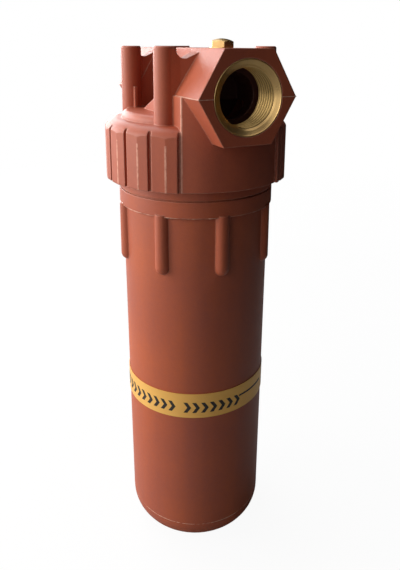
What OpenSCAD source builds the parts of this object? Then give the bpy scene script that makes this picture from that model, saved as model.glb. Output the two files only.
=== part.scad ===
// Cartridge filter housing for hot water: a head with two in-line threaded ports,
// a screw-on bowl and the washable screen cartridge that stands inside it.
// Frame: origin in the middle of the bowl's foot, +Z up, the inlet port faces -Y.

/* [Cartridge] */
// Length of the cartridge over its two gaskets
cart_len = 250; // [245:1:255]
// Outer diameter of the cartridge's guard sleeve
cart_d = 62; // [56:1:66]
// Hole through the gaskets at both ends
cart_bore_d = 27; // [26:0.5:29]
// Thickness of each end gasket
gasket_t = 3; // [2:0.5:4]
// Height of the skirt on each end cap
cap_h = 7; // [6:1:10]
// Number of folds in the pleated screen
pleats = 36; // [24:2:48]
// Wall of the perforated core tube
core_wall = 2; // [1.5:0.5:3]

/* [Bowl] */
// Outer diameter of the bowl under its collar
bowl_top_d = 92; // [90:1:92]
// Outer diameter of the bowl where its foot begins to round off
bowl_foot_d = 88; // [86:1:90]
// Wall thickness of the bowl
bowl_wall = 4; // [3:0.5:4.5]
// Thickness of the bowl's floor
floor_t = 5; // [4:0.5:8]
// Outer radius of the rounded foot
foot_round = 14; // [10:1:18]
// Height of the cartridge seat above the bowl's floor
seat_h = 8.5; // [7:0.5:12]
// How far the collar stands out of the bowl's wall
collar_out = 2; // [2:0.25:4]
// Height of the collar
collar_h = 9.5; // [8:0.5:12]
// Number of grip bars under the collar
grip_bars = 8; // [4:1:12]
// Width of one grip bar
grip_w = 9; // [7:0.5:10]
// Length of the grip bars below the collar
grip_len = 36; // [25:1:45]
// How far the grip bars stand out of the wall
grip_out = 3.5; // [2.5:0.5:4]
// Angle at which the grip bars stop when the bowl is tight
bowl_clock = -5; // [-22:1:22]

/* [Bowl thread and seal] */
// How far the bowl's neck stands out over its wall
neck_out = 1.7; // [1.5:0.05:2]
// Length of the neck that shows between the collar and the head
neck_show = 7; // [5:0.5:9]
// Depth of the head's skirt around the neck
skirt_depth = 30; // [28:1:36]
// Depth of the relief that carries the neck's thread
thread_relief = 1.7; // [1.2:0.1:2]
// Cord diameter of the bowl's O-ring
bowl_seal_cord = 3.4; // [2.6:0.1:3.6]

/* [Head] */
// Thickness of the toothed ring around the bowl's neck
ring_wall = 8; // [7:0.5:11]
// Number of grip teeth round the ring
ring_teeth = 20; // [16:1:28]
// Depth of the grooves between the teeth
groove_depth = 2.2; // [1.5:0.1:3]
// Width of the grooves between the teeth
groove_w = 1.8; // [1.2:0.1:2.4]
// Radius of the ring's top shoulder
ring_round = 8; // [5:0.5:9]
// Thickness of the head's roof over the bowl
roof_t = 5.5; // [4:0.5:8]
// Outer diameter of the raised tier on the ring
tier_d = 91; // [86:1:94]
// Height of the raised tier
tier_h = 4.5; // [3:0.5:7]
// Width of the port block below the hexagon
block_w = 59; // [56:1:62]
// How far the port block's front stays behind the ring's teeth
block_back = 1.7; // [1:0.1:3]

/* [Ports] */
// Distance between the two port faces
port_span = 130; // [126:1:140]
// Distance across the flats of the port hexagons
hex_af = 49.6; // [48:0.4:54]
// Height of the port axis above the ring's top
port_rise = 16.2; // [15:0.2:20]
// Diameter of the cast passages behind the inserts
passage_d = 26; // [22:1:28]
// Outer diameter of the brass inserts
insert_d = 40; // [39:0.5:42]
// Length of the brass inserts
insert_len = 18; // [16:0.5:22]
// Minor diameter of the port thread, G 1 parallel
thread_minor_d = 30.3; // [30.3:0.1:30.5]
// Diameter of the countersink at the mouth of each insert
mouth_d = 35.4; // [34:0.2:36]

/* [Bracket bosses] */
// Boss spacing across the ports
boss_x = 63; // [60:1:68]
// Boss spacing along the ports
boss_y = 57; // [54:1:60]
// Outer diameter of the bosses
boss_d = 12.5; // [11:0.5:14]
// Hole for the bracket screws
boss_hole_d = 5; // [4:0.1:6]
// Depth of the bracket screw holes
boss_hole_depth = 24; // [16:1:30]
// Height of the bosses above the port hexagons
boss_over = 1; // [0.5:0.1:3]

/* [Vent] */
// Distance from the head's axis to the vent screw
vent_y = 33.6; // [32:0.2:36]
// Distance across the flats of the vent screw
vent_af = 12; // [11:0.5:14]
// Height of the vent screw's hexagon
vent_head_h = 4.8; // [3.5:0.1:6]
// Shank diameter of the vent screw
vent_d = 8; // [7:0.5:9]
// Cord diameter of the vent screw's O-ring
vent_seal_cord = 1.4; // [1.2:0.1:1.6]

/* [Label] */
// Width of the label band round the bowl
label_w = 16.5; // [12:0.5:24]
// Height of the label band's middle above the floor
label_z = 102.5; // [60:0.5:150]
// Thickness of the label band
label_t = 0.2; // [0.15:0.05:0.4]
// Gap between the band and the bowl, for its glue
label_gap = 0.25; // [0.2:0.05:0.3]
// Slope at which the band was stuck on
label_tilt = 2.4; // [0:0.1:3]

/* [Fits] */
// Gap between the cartridge and the seats that hold it
seat_gap = 0.15; // [0.1:0.05:0.3]
// Radial clearance between the bowl's neck and the head
neck_gap = 0.3; // [0.3:0.05:0.5]
// Radial clearance of the seals in their grooves
seal_gap = 0.15; // [0.1:0.05:0.2]
// Clearance between pieces that are fixed together
fixed_gap = 0.05; // [0.02:0.01:0.1]
// Radial clearance of the vent screw in its hole
vent_gap = 0.08; // [0.05:0.01:0.1]

/* [Hidden] */

fn_big = 64;
fn_small = 24;
fn_edge = 24;
fn_seal = 16;
over = 1;

// heights, from the floor up
seat_z = floor_t + seat_h;
cart_z0 = seat_z + seat_gap;
cart_z1 = cart_z0 + cart_len;
head_seat_z = cart_z1 + seat_gap;
rim_over_seat = 4.5;
rim_z = head_seat_z + rim_over_seat;
rim_gap = 3.5;
ceiling_z = rim_z + rim_gap;
ring_z0 = ceiling_z - skirt_depth;
ring_z1 = ceiling_z + roof_t;
collar_z1 = ring_z0 - neck_show;
collar_z0 = collar_z1 - collar_h;
tier_z = ring_z1 + tier_h;
port_z = ring_z1 + port_rise;
hex_top_z = port_z + hex_af / 2;
boss_top_z = hex_top_z + boss_over;

// bowl
bowl_r0 = bowl_foot_d / 2;
bowl_r1 = bowl_top_d / 2;
neck_r = bowl_r1 + neck_out;
collar_r = bowl_r1 + collar_out;
draft = (bowl_r1 - bowl_r0) / (collar_z0 - foot_round);
bore_r1 = bowl_r1 - bowl_wall;
bore_r0 = bowl_r0 - bowl_wall;
inner_round = foot_round - bowl_wall;
thread_r = neck_r - thread_relief;
lip_h = 1.6;
seal_r = bowl_seal_cord / 2;
seal_mid_r = neck_r - seal_r + seal_gap / 3;
seal_groove_r = seal_mid_r - seal_r - seal_gap;
seal_groove_z1 = rim_z - lip_h;
seal_groove_z0 = seal_groove_z1 - bowl_seal_cord - 2 * seal_gap;
thread_z1 = seal_groove_z0 - 2;
thread_z0 = ring_z0 + 3;
thread_line = 0.8;
line_depth = 0.9;

// cartridge seats: a sealing edge and a pilot tube, alike in the bowl and the head
edge_in = 3;
edge_w = 3;
edge_r0 = cart_bore_d / 2 + edge_in;
edge_r1 = edge_r0 + edge_w;
pilot_gap = 1.1;
pilot_r = cart_bore_d / 2 - pilot_gap;
pilot_wall = 2.4;
pilot_len = 9;
fin_t = 2.4;
fins = 6;
lead_in = 1.2;

// cartridge
cart_r = cart_d / 2;
gasket_r = edge_r1 + edge_in;
cap_web = 2.4;
cap_skirt = 1.6;
core_r0 = cart_bore_d / 2 + fixed_gap;
core_r1 = core_r0 + core_wall;
guard_t = 1.2;
guard_r1 = cart_r - cap_skirt - fixed_gap;
guard_r0 = guard_r1 - guard_t;
screen_gap = 0.3;
screen_t = 0.7;
fold_tip = 0.8;
fold_half = 0.12;
screen_r1 = guard_r0 - screen_gap - fold_tip;
screen_r0 = core_r1 + screen_gap;
cap_floor_z0 = cart_z0 + gasket_t + cap_web;
cap_floor_z1 = cart_z1 - gasket_t - cap_web;
slot_cols = 6;
slot_w = 6;
slot_h = 10;
slot_pitch = 20;
guard_cols = 8;
guard_rows = 6;
guard_rib = 7;

// head
bore_r = neck_r + neck_gap;
ring_r = bore_r + ring_wall;
round_slack = 0.3;
tier_r = tier_d / 2;
tier_round = tier_h - over / 2;
block_r = ring_r - block_back;
tooth_stop = 0.6;
block_half = asin(block_w / 2 / block_r) + tooth_stop;
port_r = port_span / 2;
passage_r = passage_d / 2;
insert_r = insert_d / 2;
hex_r = hex_af / sqrt(3);
boss_r = boss_d / 2;
boss_round = 1.2;
boss_rib_t = 1.8;
boss_rib_out = 2;
bx = boss_x / 2;
by = boss_y / 2;
core_w = hex_r;
vent_wall = 4.9;
web_out_y = vent_y + vent_wall;
web_in_y = by - 2;
web_wrap = 0.6;
web_inset = 0.2;
scoop_r = 4.4;
scoop_x = bx - boss_r - scoop_r / 2;
scoop_z = boss_top_z - 2;
ramp_lap = 2;
ramp_y0 = web_in_y / 2 + ramp_lap;
ramp_y1 = web_in_y / 2 + 2 * ramp_lap;
chamber_w = 40;
chamber_roof = 3;
chamber_y0 = edge_r1 + 3.5;
chamber_y1 = block_r - 8;
end_wall = 2.5;
passage_y0 = web_in_y + end_wall;
roof_bar_w = 3;
roof_bar_l = 23;
outlet_bore_r = pilot_r - pilot_wall;
clock0 = 2.3;
groove_slant = 0.3;
facet_drop = 0.4;
ridge_at = 0.56;

// inserts
flange_t = 3;
insert_body_r = insert_r - 1.2;
insert_key_r = insert_r - 0.4;
key_w = 2.5;
thread_minor_r = thread_minor_d / 2;
mouth_r = mouth_d / 2;
mouth_depth = mouth_r - thread_minor_r;

// vent
vent_r = vent_d / 2;
vent_seal_r = vent_seal_cord / 2;
vent_flange_t = 1.2;
vent_pocket = 2.4;
vent_rim = 1.1;
vent_pocket_r = vent_r + vent_gap + vent_seal_cord + vent_rim;
vent_seal_z0 = hex_top_z - vent_pocket + seal_gap / 3;
vent_head_z0 = vent_seal_z0 + vent_seal_cord + seal_gap / 3 + vent_flange_t;
vent_shank = vent_head_z0 - vent_flange_t - port_z - passage_r - 1;
vent_bleed_r = 1.2;
vent_cross = 2.5;
vent_clock = 15;
vent_dome = 14;

// ---- shared shapes ----

module ring_solid(r0, r1, z0, z1) {
  difference() {
    translate([0, 0, z0]) cylinder(r = r1, h = z1 - z0, $fn = fn_big);
    translate([0, 0, z0 - over]) cylinder(r = r0, h = z1 - z0 + 2 * over, $fn = fn_big);
  }
}

// a disc whose top edge is rounded
module round_top(r, round_r, z0, z1, fn) {
  rotate_extrude($fn = fn) {
    translate([0, z0]) square([r - round_r, z1 - z0]);
    translate([0, z0]) square([r, z1 - z0 - round_r]);
    translate([r - round_r, z1 - round_r]) circle(r = round_r, $fn = fn_edge);
  }
}

module along_y(r, y0, y1) {
  translate([0, y0, port_z]) rotate([-90, 0, 0])
    cylinder(r = r, h = y1 - y0, $fn = fn_big);
}

function at(r, a) = [r * cos(a), r * sin(a)];

// ---- head ----

// outline of the toothed ring: each tooth is two flat facets between grooves
function tooth(i) =
  let (step = 360 / ring_teeth,
       a = i * step + clock0,
       half = asin(groove_w / 2 / ring_r))
  [at(ring_r - groove_depth, a - half), at(ring_r - groove_depth, a + half),
   at(ring_r - facet_drop, a + half + groove_slant), at(ring_r, a + step * ridge_at),
   at(ring_r - facet_drop, a + step - half - groove_slant)];

module toothed_ring() {
  intersection() {
    round_top(ring_r + round_slack, ring_round, ring_z0, ring_z1, fn_big);
    translate([0, 0, ring_z0 - over])
      linear_extrude(ring_z1 - ring_z0 + 2 * over) difference() {
        polygon([for (i = [0 : ring_teeth - 1]) for (p = tooth(i)) p]);
        difference() {
          for (a = [-90, 90])
            polygon([[0, 0], at(2 * ring_r, a - block_half), at(2 * ring_r, a + block_half)]);
          circle(r = block_r - over, $fn = fn_big);
        }
      }
  }
}

// block below one port; the inlet's runs back over the chamber as a sloping ramp
module port_block(back_y, slope) {
  intersection() {
    translate([0, 0, ring_z0])
      cylinder(r = block_r, h = port_z - ring_z0, $fn = fn_big);
    translate([block_w / 2, 0, 0]) rotate([90, 0, -90])
      linear_extrude(block_w)
        polygon([[block_r + over, ring_z0 - over], [block_r + over, port_z + over],
                 [back_y, port_z + over], [back_y, port_z],
                 [back_y - slope, tier_z - 2], [back_y - slope, ring_z0 - over]]);
  }
}

module hex_prism(y0, y1) {
  translate([0, -y0, port_z]) rotate([90, 0, 0])
    cylinder(r = hex_r, h = y1 - y0, $fn = 6);
}

// wall from a boss to the port, with the round scoop in its top edge
module web() {
  web_top_z = boss_top_z - boss_round;
  difference() {
    translate([0, 0, ring_z1 - over])
      linear_extrude(web_top_z - ring_z1 + over)
        polygon([[bx, by + boss_r - web_inset], [bx - boss_r, by + boss_r + web_wrap],
                 [hex_r / 2, web_out_y], [hex_r / 2, web_in_y], [bx, web_in_y + over]]);
    translate([0, -over, 0]) rotate([90, 0, 0]) mirror([0, 0, 1])
      linear_extrude(web_out_y + 3 * over) {
        translate([scoop_x, scoop_z]) circle(r = scoop_r, $fn = fn_small);
        // from the scoop up to the hexagon's shoulder
        polygon([[scoop_x + scoop_r * cos(127), scoop_z - scoop_r * sin(127)],
                 [scoop_x, scoop_z],
                 [scoop_x, boss_top_z + over],
                 [hex_r / 2 - over, boss_top_z + over],
                 [hex_r / 2 - over, hex_top_z - over]]);
      }
  }
}

// round boss with a thin rib down its inner side
module boss() {
  translate([bx, by, 0])
    round_top(boss_r, boss_round, ring_z1 - over, boss_top_z, fn_small);
  translate([bx - boss_rib_t / 2, by - boss_r - boss_rib_out, ring_z1])
    cube([boss_rib_t, boss_r, port_z - ring_z1 + over]);
}

module head() {
  color("sienna") difference() {
    union() {
      toothed_ring();
      round_top(tier_r, tier_round, ring_z1 - over, tier_z, fn_big);
      port_block(ramp_y0, ramp_y0 + ramp_y1);
      rotate([0, 0, 180]) port_block(web_in_y, 0);
      hex_prism(web_in_y, port_r);
      hex_prism(-port_r, -web_in_y);
      translate([-core_w / 2, -web_in_y - over, ring_z1 - over])
        cube([core_w, 2 * (web_in_y + over), hex_top_z - ring_z1 + over]);
      translate([-core_w / 2, by, hex_top_z - over])
        cube([roof_bar_l, roof_bar_w, boss_over + over]);
      for (mx = [0, 1]) for (my = [0, 1]) mirror([mx, 0, 0]) mirror([0, my, 0]) {
        web();
        boss();
      }
    }
    head_bore();
    inlet_passage();
    outlet_passage();
    for (side = [0, 1]) rotate([0, 0, 180 * side]) insert_pocket(fixed_gap);
    vent_hole();
    boss_holes();
  }
}

// the skirt's bore up to the ceiling, with the spigot left standing in it
module head_bore() {
  difference() {
    translate([0, 0, ring_z0 - over])
      cylinder(r = bore_r, h = ceiling_z - ring_z0 + over, $fn = fn_big);
    spigot();
  }
  translate([0, 0, ring_z0 - over])
    cylinder(r1 = bore_r + lead_in + over, r2 = bore_r - 0.02, h = lead_in + over, $fn = fn_big);
}

module spigot() {
  ring_solid(edge_r0, edge_r1, head_seat_z, ceiling_z + over);
  ring_solid(outlet_bore_r, pilot_r, head_seat_z - pilot_len, ceiling_z + over);
  seat_fins(head_seat_z + 2, ceiling_z + over);
}

// fins between the pilot tube and the sealing edge
module seat_fins(z0, z1) {
  for (i = [0 : fins - 1]) rotate([0, 0, 360 / fins * (i + 0.5)])
    translate([pilot_r - over / 2, -fin_t / 2, z0])
      cube([edge_r0 - pilot_r + over, fin_t, z1 - z0]);
}

// the port's bore stops behind the web and opens down into the bowl
module inlet_passage() {
  along_y(passage_r, -port_r, -passage_y0);
  intersection() {
    translate([-chamber_w / 2, -chamber_y1, ceiling_z - over])
      cube([chamber_w, chamber_y1 - chamber_y0, port_z - ceiling_z - chamber_roof]);
    cylinder(r = bore_r1 - over, h = port_z, $fn = fn_big);
  }
}

// the cartridge's bore leads up and out through a narrower bore to the port
module outlet_passage() {
  along_y(passage_r, passage_y0, port_r);
  along_y(outlet_bore_r, -outlet_bore_r, port_r);
  translate([0, 0, ceiling_z - over])
    cylinder(r = outlet_bore_r, h = port_z - ceiling_z + over, $fn = fn_big);
}

module vent_hole() {
  translate([0, -vent_y, port_z])
    cylinder(r = vent_r + vent_gap, h = hex_af, $fn = fn_small);
  translate([0, -vent_y, hex_top_z - vent_pocket])
    cylinder(r = vent_pocket_r, h = hex_af, $fn = fn_small);
}

module boss_holes() {
  for (sx = [-1, 1]) for (sy = [-1, 1])
    translate([sx * bx, sy * by, boss_top_z - boss_hole_depth])
      cylinder(r = boss_hole_d / 2, h = boss_hole_depth + over, $fn = fn_small);
}

// stepped round body of an insert or of its pocket, mouth at -Y
module insert_body(gap, mouth) {
  key_y = -port_r + insert_len / 2 + key_w / 2;
  along_y(insert_r + gap, -port_r - mouth, -port_r + flange_t + gap);
  along_y(insert_body_r + gap, -port_r - mouth, -port_r + insert_len + gap);
  along_y(insert_key_r + gap, key_y - gap, key_y + key_w + gap);
}

module insert_pocket(gap) {
  insert_body(gap, over);
}

module insert() {
  color("goldenrod") difference() {
    insert_body(0, 0);
    along_y(thread_minor_r, -port_r - over, -port_r + insert_len + over);
    translate([0, -port_r - over, port_z]) rotate([-90, 0, 0])
      cylinder(r1 = mouth_r + over, r2 = thread_minor_r - 0.01,
               h = mouth_depth + over, $fn = fn_big);
  }
}

module inlet_insert() {
  insert();
}

module outlet_insert() {
  rotate([0, 0, 180]) insert();
}

// ---- vent ----

module vent_screw() {
  color("gold") difference() {
    translate([0, -vent_y, 0]) {
      intersection() {
        translate([0, 0, vent_head_z0]) rotate([0, 0, vent_clock])
          cylinder(r = vent_af / sqrt(3), h = vent_head_h, $fn = 6);
        translate([0, 0, vent_head_z0 + vent_head_h - vent_dome])
          sphere(r = vent_dome, $fn = fn_big);
      }
      translate([0, 0, vent_head_z0 - vent_flange_t])
        cylinder(r = vent_pocket_r - vent_gap, h = vent_flange_t, $fn = fn_small);
      translate([0, 0, vent_head_z0 - vent_flange_t - vent_shank])
        cylinder(r = vent_r, h = vent_shank, $fn = fn_small);
    }
    translate([0, -vent_y, vent_head_z0 - vent_flange_t - vent_shank - over])
      cylinder(r = vent_bleed_r, h = vent_shank, $fn = fn_small);
    translate([0, -vent_y - vent_r - over, vent_seal_z0 - vent_cross]) rotate([-90, 0, 0])
      cylinder(r = vent_bleed_r, h = 2 * (vent_r + over), $fn = fn_small);
  }
}

module vent_seal() {
  color("black") translate([0, -vent_y, vent_seal_z0 + vent_seal_r])
    rotate_extrude($fn = fn_small)
      translate([vent_r + vent_gap + vent_seal_r, 0]) circle(r = vent_seal_r, $fn = fn_seal);
}

// ---- bowl ----

// radius of the bowl's tapered wall at height z
function wall_r(z) = bowl_r0 + draft * (z - foot_round);

module bowl_outside() {
  rotate_extrude($fn = fn_big) {
    square([bowl_r0 - foot_round, foot_round]);
    translate([bowl_r0 - foot_round, foot_round]) circle(r = foot_round, $fn = fn_edge);
    polygon([[0, foot_round], [bowl_r0, foot_round], [wall_r(collar_z0 + over), collar_z0 + over],
             [0, collar_z0 + over]]);
    translate([0, collar_z0]) square([collar_r, collar_h]);
    translate([0, collar_z1]) square([neck_r - line_depth, thread_line + over]);
    translate([0, collar_z1 + thread_line]) square([neck_r, rim_z - collar_z1 - thread_line]);
  }
}

module bowl_inside() {
  rotate_extrude($fn = fn_big) {
    translate([0, floor_t]) square([bore_r0 - inner_round, inner_round + over]);
    translate([bore_r0 - inner_round, floor_t + inner_round])
      circle(r = inner_round, $fn = fn_edge);
    polygon([[0, floor_t + inner_round], [bore_r0, floor_t + inner_round],
             [bore_r1, rim_z], [bore_r1, rim_z + over], [0, rim_z + over]]);
  }
}

module bowl_seat() {
  ring_solid(edge_r0, edge_r1, floor_t - over, seat_z);
  ring_solid(pilot_r - pilot_wall, pilot_r, floor_t - over, seat_z + pilot_len);
  seat_fins(floor_t - over, seat_z - 2);
}

module grip_bar() {
  z0 = collar_z0 - grip_len;
  intersection() {
    translate([wall_r(z0) + grip_out - grip_w / 2, 0, z0]) union() {
      translate([0, 0, grip_w / 2]) cylinder(r = grip_w / 2, h = grip_len, $fn = fn_small);
      translate([0, 0, grip_w / 2]) sphere(r = grip_w / 2, $fn = fn_small);
      translate([-grip_w, -grip_w / 2, grip_w / 2]) cube([grip_w, grip_w, grip_len]);
      translate([-grip_w, 0, grip_w / 2]) rotate([0, 90, 0])
        cylinder(r = grip_w / 2, h = grip_w, $fn = fn_small);
    }
    cylinder(r = 2 * collar_r, h = collar_z0 + over);
  }
}

module bowl() {
  color("peru") difference() {
    union() {
      difference() {
        bowl_outside();
        bowl_inside();
      }
      bowl_seat();
      difference() {
        for (i = [0 : grip_bars - 1]) rotate([0, 0, 360 / grip_bars * i - 90 + bowl_clock])
          grip_bar();
        bowl_inside();
      }
    }
    // relief for the thread and groove for the O-ring
    ring_solid(thread_r, neck_r + over, thread_z0, thread_z1);
    ring_solid(seal_groove_r, neck_r + over, seal_groove_z0, seal_groove_z1);
  }
}

module bowl_seal() {
  color("black") translate([0, 0, (seal_groove_z0 + seal_groove_z1) / 2])
    rotate_extrude($fn = fn_big)
      translate([seal_mid_r, 0]) circle(r = seal_r, $fn = fn_seal);
}

// a thin band that follows the wall's taper, cut by two tilted planes
module label_band() {
  color("khaki") intersection() {
    rotate_extrude($fn = fn_big)
      polygon([for (p = [[0, -1], [1, -1], [1, 1], [0, 1]])
        let (z = label_z + p[1] * label_w)
        [wall_r(z) + label_gap + p[0] * label_t, z]]);
    translate([0, 0, label_z]) rotate([-label_tilt, 0, 0])
      translate([0, 0, -label_w / 2]) cylinder(r = bowl_r1 + 5, h = label_w, $fn = fn_big);
  }
}

// ---- cartridge ----

module cartridge_core() {
  color("ivory") difference() {
    ring_solid(core_r0, core_r1, cap_floor_z0 + fixed_gap, cap_floor_z1 - fixed_gap);
    for (z = [cap_floor_z0 + slot_pitch : slot_pitch : cap_floor_z1 - slot_pitch])
      for (i = [0 : slot_cols / 2 - 1]) rotate([0, 0, 360 / slot_cols * i])
        translate([-core_r1 - over, -slot_w / 2, z - slot_h / 2])
          cube([2 * (core_r1 + over), slot_w, slot_h]);
  }
}

// outline of the folded screen: out along one side of each fold and back along the other
function fold_line(r_off) = [for (i = [0 : pleats - 1])
    for (p = [[screen_r0, 0], [screen_r1, 0.5 - fold_half], [screen_r1, 0.5 + fold_half]])
      at(p[0] + r_off, (i + p[1]) * 360 / pleats)];

module cartridge_screen() {
  color("lightgray")
    translate([0, 0, cap_floor_z0 + fixed_gap])
      linear_extrude(cap_floor_z1 - cap_floor_z0 - 2 * fixed_gap) difference() {
        polygon(fold_line(screen_t));
        polygon(fold_line(0));
      }
}

// open guard sleeve: hoops joined by upright bars
module cartridge_guard() {
  z0 = cap_floor_z0 + fixed_gap;
  z1 = cap_floor_z1 - fixed_gap;
  pitch = (z1 - z0 - cap_h * 2) / guard_rows;
  window_w = 2 * PI * guard_r1 / guard_cols - guard_rib;
  color("white") difference() {
    ring_solid(guard_r0, guard_r1, z0, z1);
    for (row = [0 : guard_rows - 1])
      for (i = [0 : guard_cols / 2 - 1]) rotate([0, 0, 360 / guard_cols * i])
        translate([-guard_r1 - over, -window_w / 2, z0 + cap_h + row * pitch + guard_rib / 2])
          cube([2 * (guard_r1 + over), window_w, pitch - guard_rib]);
  }
}

// end cap with its floor at z = 0 and its skirt upwards
module end_cap() {
  ring_solid(cart_bore_d / 2, cart_r, -cap_web, 0);
  ring_solid(cart_r - cap_skirt, cart_r, -over / 2, cap_h);
}

module cartridge_top_cap() {
  color("dimgray") translate([0, 0, cap_floor_z1]) mirror([0, 0, 1]) end_cap();
}

module cartridge_bottom_cap() {
  color("dimgray") translate([0, 0, cap_floor_z0]) end_cap();
}

module cartridge_top_gasket() {
  color("darkslategray")
    ring_solid(cart_bore_d / 2, gasket_r, cart_z1 - gasket_t, cart_z1);
}

module cartridge_bottom_gasket() {
  color("darkslategray")
    ring_solid(cart_bore_d / 2, gasket_r, cart_z0, cart_z0 + gasket_t);
}

head();
inlet_insert();
outlet_insert();
vent_screw();
vent_seal();
bowl();
bowl_seal();
label_band();
cartridge_core();
cartridge_screen();
cartridge_guard();
cartridge_top_cap();
cartridge_bottom_cap();
cartridge_top_gasket();
cartridge_bottom_gasket();
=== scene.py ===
# %% [markdown]
# # A cartridge water filter, dressed in Blender
# The housing comes from the CAD model: a head with two threaded ports, a long
# screw-on bowl and the cartridge inside it. This lesson loads that model as a
# fixed frame, gives every piece its finish, and adds what a CAD model leaves
# out: pipe threads, mould lines and the print on the label band.

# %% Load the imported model
import math

import bmesh
import bpy
import numpy as np
from mathutils import Matrix, Vector
from mathutils.bvhtree import BVHTree


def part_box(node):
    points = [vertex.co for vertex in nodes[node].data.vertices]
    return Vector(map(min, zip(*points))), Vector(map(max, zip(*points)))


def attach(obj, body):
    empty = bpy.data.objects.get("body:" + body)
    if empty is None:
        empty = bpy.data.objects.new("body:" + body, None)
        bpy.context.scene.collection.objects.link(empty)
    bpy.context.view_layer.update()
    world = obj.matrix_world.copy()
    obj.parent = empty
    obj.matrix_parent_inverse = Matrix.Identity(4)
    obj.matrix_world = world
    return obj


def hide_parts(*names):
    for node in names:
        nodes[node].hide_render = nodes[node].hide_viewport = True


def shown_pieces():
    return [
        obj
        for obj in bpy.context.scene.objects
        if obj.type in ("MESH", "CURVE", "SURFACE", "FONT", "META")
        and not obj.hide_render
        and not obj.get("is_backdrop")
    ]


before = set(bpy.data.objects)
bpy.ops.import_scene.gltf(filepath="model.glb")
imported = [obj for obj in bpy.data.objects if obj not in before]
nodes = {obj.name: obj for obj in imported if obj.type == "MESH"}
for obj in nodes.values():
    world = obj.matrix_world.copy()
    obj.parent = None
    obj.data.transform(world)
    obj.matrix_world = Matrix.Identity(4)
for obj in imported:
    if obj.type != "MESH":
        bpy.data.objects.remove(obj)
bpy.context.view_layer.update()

print("CAD nodes:", ", ".join(sorted(nodes)))

# %% [markdown]
# ## Points in the photograph
# A handful of features were read off the photograph, in its own frame of 400
# by 570. They settle the camera, and at the end the script finds where each one
# shows on the finished pieces.

# %% Image points
IMAGE_W, IMAGE_H = 400, 570
LONG_SIDE = max(IMAGE_W, IMAGE_H)
POINTS = {
    "object_left": (104.7, None),
    "object_right": (294.8, None),
    "object_top": (None, 38.1),
    "object_bottom": (None, 531.5),
    "port_corner_left": (199.5, 100.8),
    "port_corner_top_left": (224.5, 47.8),
    "port_corner_top_right": (274.2, 47.0),
    "port_corner_right": (294.8, 97.0),
    "port_corner_bottom_right": (273.7, 143.8),
    "port_corner_bottom_left": (224.2, 147.0),
    "port_mouth_middle": (248.2, 97.2),
    "near_boss_top": (165.0, 45.5),
    "vent_screw_top": (222.3, 38.1),
    "ring_bottom": (195.0, 194.6),
    "left_grip_end": (161.8, 276.0),
    "middle_grip_end": (224.5, 277.5),
    "band_top": (196.0, 392.7),
    "band_bottom": (196.0, 415.7),
    "foot_line": (183.5, 523.4),
    "print_line_start": (238.9, 395.4),
}
print(len(POINTS), "image points")

# %% [markdown]
# ## The camera
# A camera has a place, a direction and a lens. Those three are settled first,
# from the points above. The photograph was cropped off centre, as the upright
# lines show, so what is left over is taken up by the shift.

# %% Camera
CAMERA_PLACE = (-0.14421, -0.31190, 0.31998)
CAMERA_HEADING = 25.216      # degrees from +Y towards +X
CAMERA_PITCH = -13.712       # degrees, below level
CAMERA_ROLL = 0.145          # degrees
SENSOR_WIDTH = 36.0
LENS = 35.064
SHIFT_X, SHIFT_Y = 0.001, -0.1839

camera_data = bpy.data.cameras.new("photo_camera")
camera_data.sensor_fit = "AUTO"
camera_data.sensor_width = SENSOR_WIDTH
camera_data.lens = LENS
camera_data.shift_x, camera_data.shift_y = SHIFT_X, SHIFT_Y
camera_data.clip_start, camera_data.clip_end = 0.01, 50.0
camera = bpy.data.objects.new("photo_camera", camera_data)
bpy.context.scene.collection.objects.link(camera)
bpy.context.scene.camera = camera
camera.matrix_world = (
    Matrix.Translation(CAMERA_PLACE)
    @ Matrix.Rotation(math.radians(-CAMERA_HEADING), 4, "Z")
    @ Matrix.Rotation(math.radians(90 + CAMERA_PITCH), 4, "X")
    @ Matrix.Rotation(math.radians(CAMERA_ROLL), 4, "Z")
)
FOCAL = LONG_SIDE * LENS / SENSOR_WIDTH
print("the long side spans", round(2 * math.degrees(math.atan(LONG_SIDE / 2 / FOCAL)), 1), "degrees")

# %% Between the model and the image


def to_image(points):
    """Image points of 3-D points, an array of rows. Each row is turned into the camera's
    axes and divided by its depth, scaled by the focal length, and moved by the shift."""
    rows = np.c_[points, np.ones(len(points))]
    local = rows @ np.array(camera.matrix_world.inverted()).T
    x = IMAGE_W / 2 - SHIFT_X * LONG_SIDE + FOCAL * local[:, 0] / -local[:, 2]
    y = IMAGE_H / 2 + SHIFT_Y * LONG_SIDE - FOCAL * local[:, 1] / -local[:, 2]
    return np.c_[x, y]


def vertices_of(obj):
    """An object's vertices as an array of rows."""
    co = np.empty(3 * len(obj.data.vertices), np.float32)
    obj.data.vertices.foreach_get("co", co)
    return co.reshape(-1, 3).astype(float)


def place_on(image_point, carrier):
    """Where the ray through an image point meets a piece, or the place nearest the ray."""
    tree = BVHTree.FromObject(carrier, bpy.context.evaluated_depsgraph_get())
    x, y = image_point
    in_camera = Vector((
        x - IMAGE_W / 2 + SHIFT_X * LONG_SIDE,
        IMAGE_H / 2 - y + SHIFT_Y * LONG_SIDE,
        -FOCAL,
    ))
    ray = (camera.matrix_world.to_3x3() @ in_camera).normalized()
    eye = camera.matrix_world.translation
    met = tree.ray_cast(eye, ray)[0]
    if met is None:
        tries = [tree.find_nearest(eye + ray * d) for d in np.linspace(0.2, 0.6, 81)]
        met = min(tries, key=lambda found: found[3])[0]
    return met


# %% [markdown]
# ## Sizes read from the model
# Nothing is measured twice. The port's axis, the bowl's wall and the band's
# height come from the boxes and vertices of the CAD nodes. Only the sizes of
# added detail, such as a thread's depth, are stated, where the detail is made.

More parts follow.
